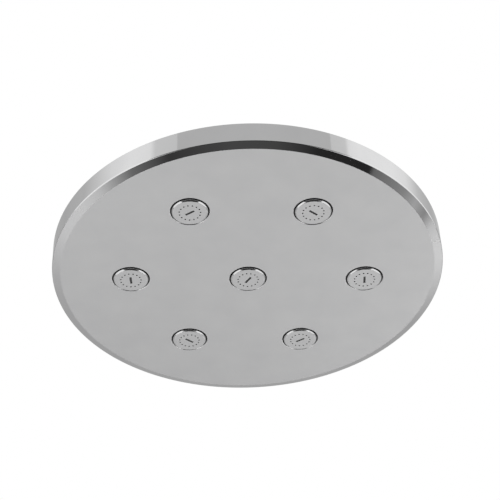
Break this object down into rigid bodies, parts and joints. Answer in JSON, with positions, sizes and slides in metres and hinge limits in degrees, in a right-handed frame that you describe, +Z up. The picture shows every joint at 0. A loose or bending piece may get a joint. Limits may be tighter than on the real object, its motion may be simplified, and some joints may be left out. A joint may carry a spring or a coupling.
{
  "type": "shower head",
  "caption": "Round overhead shower head: flat polished disc with a bevelled edge, swivelling jets set in its face, and a ball joint with a female pipe thread behind.",
  "frame": {"origin": "middle of the mouth of the female inlet thread, at the top of the stem", "axes": "+Z up out of the inlet thread, along the disc's axis, so the jets point along -Z; +X from the middle jet to one of the outer jets"},
  "size_m": [0.3, 0.3, 0.0643],
  "materials": {
    "polished_chrome": "polished chrome plate",
    "screw_steel": "plain stainless steel",
    "white_acetal": "moulded acetal",
    "black_acetal": "moulded black acetal",
    "grey_plastic": "moulded glass-filled nylon",
    "seal_rubber": "matt moulded rubber"
  },
  "bodies": {
    "inlet": {"ball_stem": "polished_chrome", "inlet_washer": "seal_rubber", "filter_screen": "screw_steel", "flow_limiter": "white_acetal"},
    "liner": {"ball_liner": "white_acetal"},
    "head": {"front_shell": "polished_chrome", "back_cover": "polished_chrome", "cover_screws": "screw_steel", "inlet_socket": "polished_chrome", "socket_screws": "screw_steel", "spigot_seal": "seal_rubber", "ball_nut": "polished_chrome", "ball_seal": "seal_rubber", "waterway_body": "grey_plastic", "waterway_lid": "grey_plastic"},
    "jet_1_ring": {"jet_1_seat": "black_acetal", "jet_1_seal": "seal_rubber"},
    "jet_1": {"jet_1_plate": "polished_chrome", "jet_1_ball": "black_acetal"},
    "jet_2_ring": {"jet_2_seat": "black_acetal", "jet_2_seal": "seal_rubber"},
    "jet_2": {"jet_2_plate": "polished_chrome", "jet_2_ball": "black_acetal"},
    "jet_3_ring": {"jet_3_seat": "black_acetal", "jet_3_seal": "seal_rubber"},
    "jet_3": {"jet_3_plate": "polished_chrome", "jet_3_ball": "black_acetal"},
    "jet_4_ring": {"jet_4_seat": "black_acetal", "jet_4_seal": "seal_rubber"},
    "jet_4": {"jet_4_plate": "polished_chrome", "jet_4_ball": "black_acetal"},
    "jet_5_ring": {"jet_5_seat": "black_acetal", "jet_5_seal": "seal_rubber"},
    "jet_5": {"jet_5_plate": "polished_chrome", "jet_5_ball": "black_acetal"},
    "jet_6_ring": {"jet_6_seat": "black_acetal", "jet_6_seal": "seal_rubber"},
    "jet_6": {"jet_6_plate": "polished_chrome", "jet_6_ball": "black_acetal"},
    "jet_7_ring": {"jet_7_seat": "black_acetal", "jet_7_seal": "seal_rubber"},
    "jet_7": {"jet_7_plate": "polished_chrome", "jet_7_ball": "black_acetal"}
  },
  "joints": [
    {"name": "head_spin", "type": "hinge", "parent": "inlet", "child": "liner", "pos_m": [0, 0, -0.03194], "axis": [0, 0, 1], "continuous": true},
    {"name": "head_tilt", "type": "hinge", "parent": "liner", "child": "head", "pos_m": [0, 0, -0.03194], "axis": [1, 0, 0], "range_deg": [-12, 12]},
    {"name": "jet_1_spin", "type": "hinge", "parent": "head", "child": "jet_1_ring", "pos_m": [0, 0, -0.05656], "axis": [0, 0, 1], "continuous": true},
    {"name": "jet_1_tilt", "type": "hinge", "parent": "jet_1_ring", "child": "jet_1", "pos_m": [0, 0, -0.05656], "axis": [1, 0, 0], "range_deg": [-5, 5]},
    {"name": "jet_2_spin", "type": "hinge", "parent": "head", "child": "jet_2_ring", "pos_m": [0.09, 0, -0.05656], "axis": [0, 0, 1], "continuous": true},
    {"name": "jet_2_tilt", "type": "hinge", "parent": "jet_2_ring", "child": "jet_2", "pos_m": [0.09, 0, -0.05656], "axis": [1, 0, 0], "range_deg": [-5, 5]},
    {"name": "jet_3_spin", "type": "hinge", "parent": "head", "child": "jet_3_ring", "pos_m": [0.045, 0.07794, -0.05656], "axis": [0, 0, 1], "continuous": true},
    {"name": "jet_3_tilt", "type": "hinge", "parent": "jet_3_ring", "child": "jet_3", "pos_m": [0.045, 0.07794, -0.05656], "axis": [1, 0, 0], "range_deg": [-5, 5]},
    {"name": "jet_4_spin", "type": "hinge", "parent": "head", "child": "jet_4_ring", "pos_m": [-0.045, 0.07794, -0.05656], "axis": [0, 0, 1], "continuous": true},
    {"name": "jet_4_tilt", "type": "hinge", "parent": "jet_4_ring", "child": "jet_4", "pos_m": [-0.045, 0.07794, -0.05656], "axis": [1, 0, 0], "range_deg": [-5, 5]},
    {"name": "jet_5_spin", "type": "hinge", "parent": "head", "child": "jet_5_ring", "pos_m": [-0.09, 0, -0.05656], "axis": [0, 0, 1], "continuous": true},
    {"name": "jet_5_tilt", "type": "hinge", "parent": "jet_5_ring", "child": "jet_5", "pos_m": [-0.09, 0, -0.05656], "axis": [1, 0, 0], "range_deg": [-5, 5]},
    {"name": "jet_6_spin", "type": "hinge", "parent": "head", "child": "jet_6_ring", "pos_m": [-0.045, -0.07794, -0.05656], "axis": [0, 0, 1], "continuous": true},
    {"name": "jet_6_tilt", "type": "hinge", "parent": "jet_6_ring", "child": "jet_6", "pos_m": [-0.045, -0.07794, -0.05656], "axis": [1, 0, 0], "range_deg": [-5, 5]},
    {"name": "jet_7_spin", "type": "hinge", "parent": "head", "child": "jet_7_ring", "pos_m": [0.045, -0.07794, -0.05656], "axis": [0, 0, 1], "continuous": true},
    {"name": "jet_7_tilt", "type": "hinge", "parent": "jet_7_ring", "child": "jet_7", "pos_m": [0.045, -0.07794, -0.05656], "axis": [1, 0, 0], "range_deg": [-5, 5]}
  ]
}
